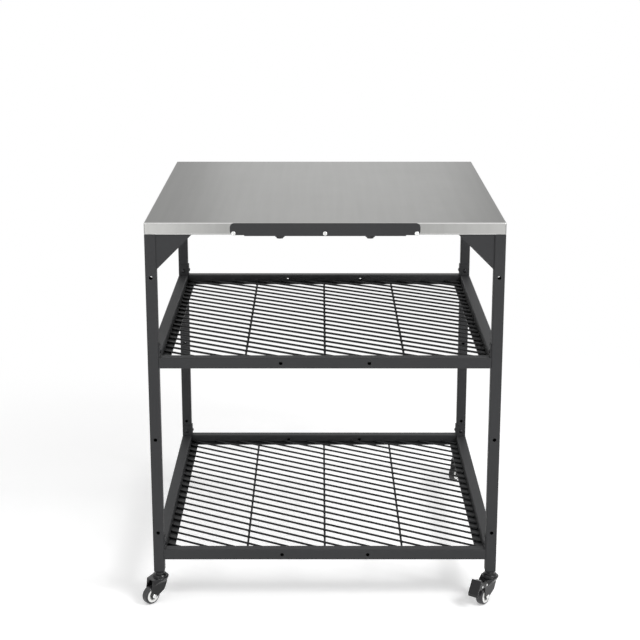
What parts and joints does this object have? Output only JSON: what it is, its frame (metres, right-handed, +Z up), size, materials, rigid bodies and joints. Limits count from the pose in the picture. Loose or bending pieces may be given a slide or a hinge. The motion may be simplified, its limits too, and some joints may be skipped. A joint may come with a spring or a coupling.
{
  "type": "outdoor oven table",
  "caption": "Square outdoor oven table on swivel casters: stainless worktop with a front accessory rail, square-tube frame and two slanted-wire shelves.",
  "frame": {"origin": "on the floor under the middle of the worktop", "axes": "+Z up, front with the accessory rail faces -Y, +X to the right seen from the front"},
  "size_m": [0.8345, 0.8627, 0.91],
  "materials": {
    "stainless": "brushed stainless sheet",
    "charcoal_paint": "fine-textured charcoal powder coat",
    "black_paint": "satin black",
    "zinc": "bright zinc plating",
    "white_plastic": "glossy white",
    "black_plastic": "matt black",
    "tyre": "dark grey rubber"
  },
  "bodies": {
    "table": {"tabletop": "stainless", "top_frame_front": "charcoal_paint", "top_frame_rear": "charcoal_paint", "top_frame_left": "charcoal_paint", "top_frame_right": "charcoal_paint", "top_braces": "charcoal_paint", "leg_front_left": "charcoal_paint", "leg_front_right": "charcoal_paint", "leg_rear_left": "charcoal_paint", "leg_rear_right": "charcoal_paint", "upper_rail_front": "charcoal_paint", "upper_rail_rear": "charcoal_paint", "upper_rail_left": "charcoal_paint", "upper_rail_right": "charcoal_paint", "lower_rail_front": "charcoal_paint", "lower_rail_rear": "charcoal_paint", "lower_rail_left": "charcoal_paint", "lower_rail_right": "charcoal_paint", "upper_ledges": "charcoal_paint", "lower_ledges": "charcoal_paint", "upper_wires": "charcoal_paint", "lower_wires": "charcoal_paint", "upper_supports": "charcoal_paint", "lower_supports": "charcoal_paint", "shelf_cleats": "charcoal_paint", "cleat_bolts": "zinc", "thread_inserts": "zinc", "gusset_front_left": "charcoal_paint", "gusset_front_right": "charcoal_paint", "gusset_rear_left": "charcoal_paint", "gusset_rear_right": "charcoal_paint", "gusset_screws": "zinc", "accessory_rail": "charcoal_paint", "rail_pegs": "zinc", "leg_plugs": "black_plastic", "caster_stems": "zinc"},
    "thumb_screw_left": {"thumb_screw_left": "black_plastic"},
    "thumb_screw_right": {"thumb_screw_right": "black_plastic"},
    "caster_front_left": {"fork_front_left": "black_paint", "axle_front_left": "zinc"},
    "wheel_front_left": {"hub_front_left": "white_plastic", "tyre_front_left": "tyre"},
    "caster_front_right": {"fork_front_right": "black_paint", "axle_front_right": "zinc"},
    "wheel_front_right": {"hub_front_right": "white_plastic", "tyre_front_right": "tyre"},
    "brake_front_right": {"brake_pedal_front_right": "black_paint", "brake_pins_front_right": "zinc"},
    "caster_rear_left": {"fork_rear_left": "black_paint", "axle_rear_left": "zinc"},
    "wheel_rear_left": {"hub_rear_left": "white_plastic", "tyre_rear_left": "tyre"},
    "brake_rear_left": {"brake_pedal_rear_left": "black_paint", "brake_pins_rear_left": "zinc"},
    "caster_rear_right": {"fork_rear_right": "black_paint", "axle_rear_right": "zinc"},
    "wheel_rear_right": {"hub_rear_right": "white_plastic", "tyre_rear_right": "tyre"}
  },
  "joints": [
    {"name": "thumb_screw_left_turn", "type": "hinge", "parent": "table", "child": "thumb_screw_left", "pos_m": [-0.1, -0.3875, 0.875], "axis": [0, 0, 1], "range_deg": [-360, 0]},
    {"name": "thumb_screw_right_turn", "type": "hinge", "parent": "table", "child": "thumb_screw_right", "pos_m": [0.1, -0.3875, 0.875], "axis": [0, 0, 1], "range_deg": [-360, 0]},
    {"name": "swivel_front_left", "type": "hinge", "parent": "table", "child": "caster_front_left", "pos_m": [-0.3875, -0.3875, 0.066], "axis": [0, 0, 1], "continuous": true},
    {"name": "wheel_spin_front_left", "type": "hinge", "parent": "caster_front_left", "child": "wheel_front_left", "pos_m": [-0.4073, -0.4073, 0.021], "axis": [0.7071, -0.7071, 0], "continuous": true},
    {"name": "swivel_front_right", "type": "hinge", "parent": "table", "child": "caster_front_right", "pos_m": [0.3875, -0.3875, 0.066], "axis": [0, 0, 1], "continuous": true},
    {"name": "wheel_spin_front_right", "type": "hinge", "parent": "caster_front_right", "child": "wheel_front_right", "pos_m": [0.37065, -0.40986, 0.021], "axis": [0.7986, -0.6018, 0], "continuous": true},
    {"name": "brake_press_front_right", "type": "hinge", "parent": "caster_front_right", "child": "brake_front_right", "pos_m": [0.36674, -0.41505, 0.0535], "axis": [0.7986, -0.6018, 0], "range_deg": [0, 12]},
    {"name": "swivel_rear_left", "type": "hinge", "parent": "table", "child": "caster_rear_left", "pos_m": [-0.3875, 0.3875, 0.066], "axis": [0, 0, 1], "continuous": true},
    {"name": "wheel_spin_rear_left", "type": "hinge", "parent": "caster_rear_left", "child": "wheel_rear_left", "pos_m": [-0.3914, 0.35977, 0.021], "axis": [0.9903, -0.1392, 0], "continuous": true},
    {"name": "brake_press_rear_left", "type": "hinge", "parent": "caster_rear_left", "child": "brake_rear_left", "pos_m": [-0.3923, 0.35334, 0.0535], "axis": [0.9903, -0.1392, 0], "range_deg": [0, 12]},
    {"name": "swivel_rear_right", "type": "hinge", "parent": "table", "child": "caster_rear_right", "pos_m": [0.3875, 0.3875, 0.066], "axis": [0, 0, 1], "continuous": true},
    {"name": "wheel_spin_rear_right", "type": "hinge", "parent": "caster_rear_right", "child": "wheel_rear_right", "pos_m": [0.37104, 0.36485, 0.021], "axis": [0.809, -0.5878, 0], "continuous": true}
  ]
}
